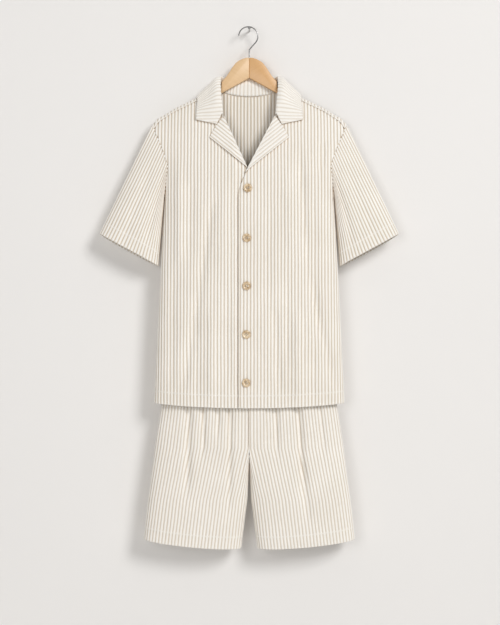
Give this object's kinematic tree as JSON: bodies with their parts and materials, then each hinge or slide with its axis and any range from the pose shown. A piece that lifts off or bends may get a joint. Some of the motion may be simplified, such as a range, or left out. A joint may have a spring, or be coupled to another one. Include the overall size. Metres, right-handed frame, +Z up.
{
  "type": "shirt and shorts set on a hanger",
  "caption": "Ribbed short-sleeve shirt with a notched camp collar and matching elastic-waist shorts, hung together on a wooden hanger from a wall pin.",
  "frame": {"origin": "root of the wall pin, on the wall's face", "axes": "+X to the viewer's right seen from the front, +Y into the wall, +Z up"},
  "size_m": [0.678, 0.0962, 1.1812],
  "materials": {
    "ribbed_cloth": "cream ribbed plisse cloth",
    "horn": "mottled tan horn, semi-gloss",
    "wood_dark": "darker lacquered wood",
    "wood_light": "lighter lacquered wood",
    "steel": "plated wire"
  },
  "bodies": {
    "root": {"shirt_front_left": "ribbed_cloth", "shirt_front_right": "ribbed_cloth", "shirt_back": "ribbed_cloth", "sleeve_left": "ribbed_cloth", "sleeve_right": "ribbed_cloth", "collar": "ribbed_cloth", "lapel_left": "ribbed_cloth", "lapel_right": "ribbed_cloth", "button_1": "horn", "button_2": "horn", "button_3": "horn", "button_4": "horn", "button_5": "horn", "shorts_front_left": "ribbed_cloth", "shorts_front_right": "ribbed_cloth", "shorts_back_left": "ribbed_cloth", "shorts_back_right": "ribbed_cloth", "shorts_waistband": "ribbed_cloth", "hanger_arm_left": "wood_dark", "hanger_arm_right": "wood_light", "hanger_hook": "steel", "wall_pin": "steel"}
  },
  "joints": []
}
